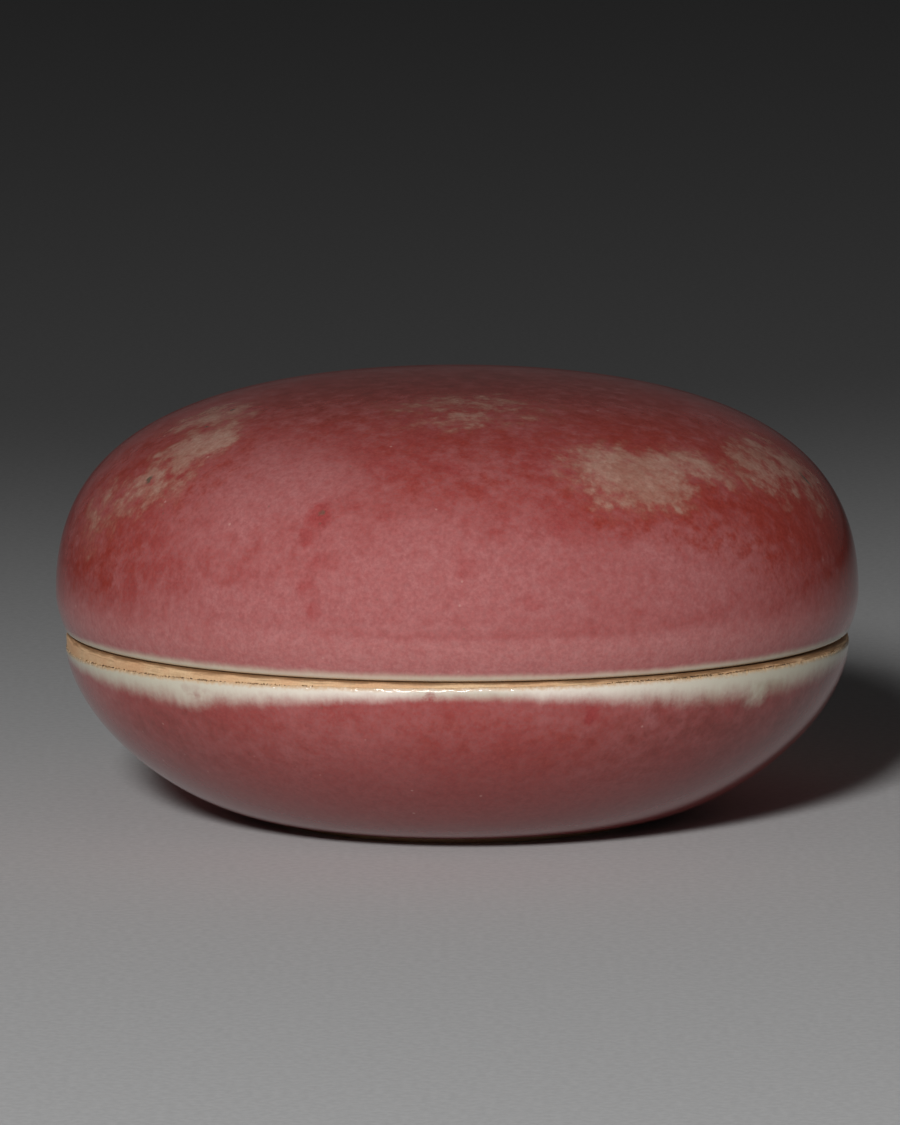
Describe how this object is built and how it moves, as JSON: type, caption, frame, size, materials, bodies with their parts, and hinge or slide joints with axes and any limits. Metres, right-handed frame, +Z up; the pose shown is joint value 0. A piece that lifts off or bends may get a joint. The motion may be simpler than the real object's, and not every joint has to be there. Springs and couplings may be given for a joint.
{
  "type": "porcelain box with cover",
  "caption": "Round porcelain box for seal paste, with a domed cover that lifts off the lipped rim of a shallow footed bowl.",
  "frame": {"origin": "centre of the foot ring, in the plane it stands on", "axes": "+Z up along the axis of both pieces, +X to the right in the picture, +Y away from the camera"},
  "size_m": [0.072, 0.072, 0.04],
  "materials": {
    "rose_glaze": "glossy mottled copper-red glaze over white porcelain",
    "clear_glaze": "glossy clear glaze over white porcelain, inside and in the foot",
    "biscuit": "bare fired porcelain, matt and toned with use, on the rims, lip and foot ring"
  },
  "bodies": {
    "bowl": {"bowl": "rose_glaze"},
    "cover": {"cover": "rose_glaze"}
  },
  "joints": [
    {"name": "cover_lift", "type": "slide", "parent": "bowl", "child": "cover", "axis": [0, 0, 1], "range_m": [0, 0.05]}
  ]
}
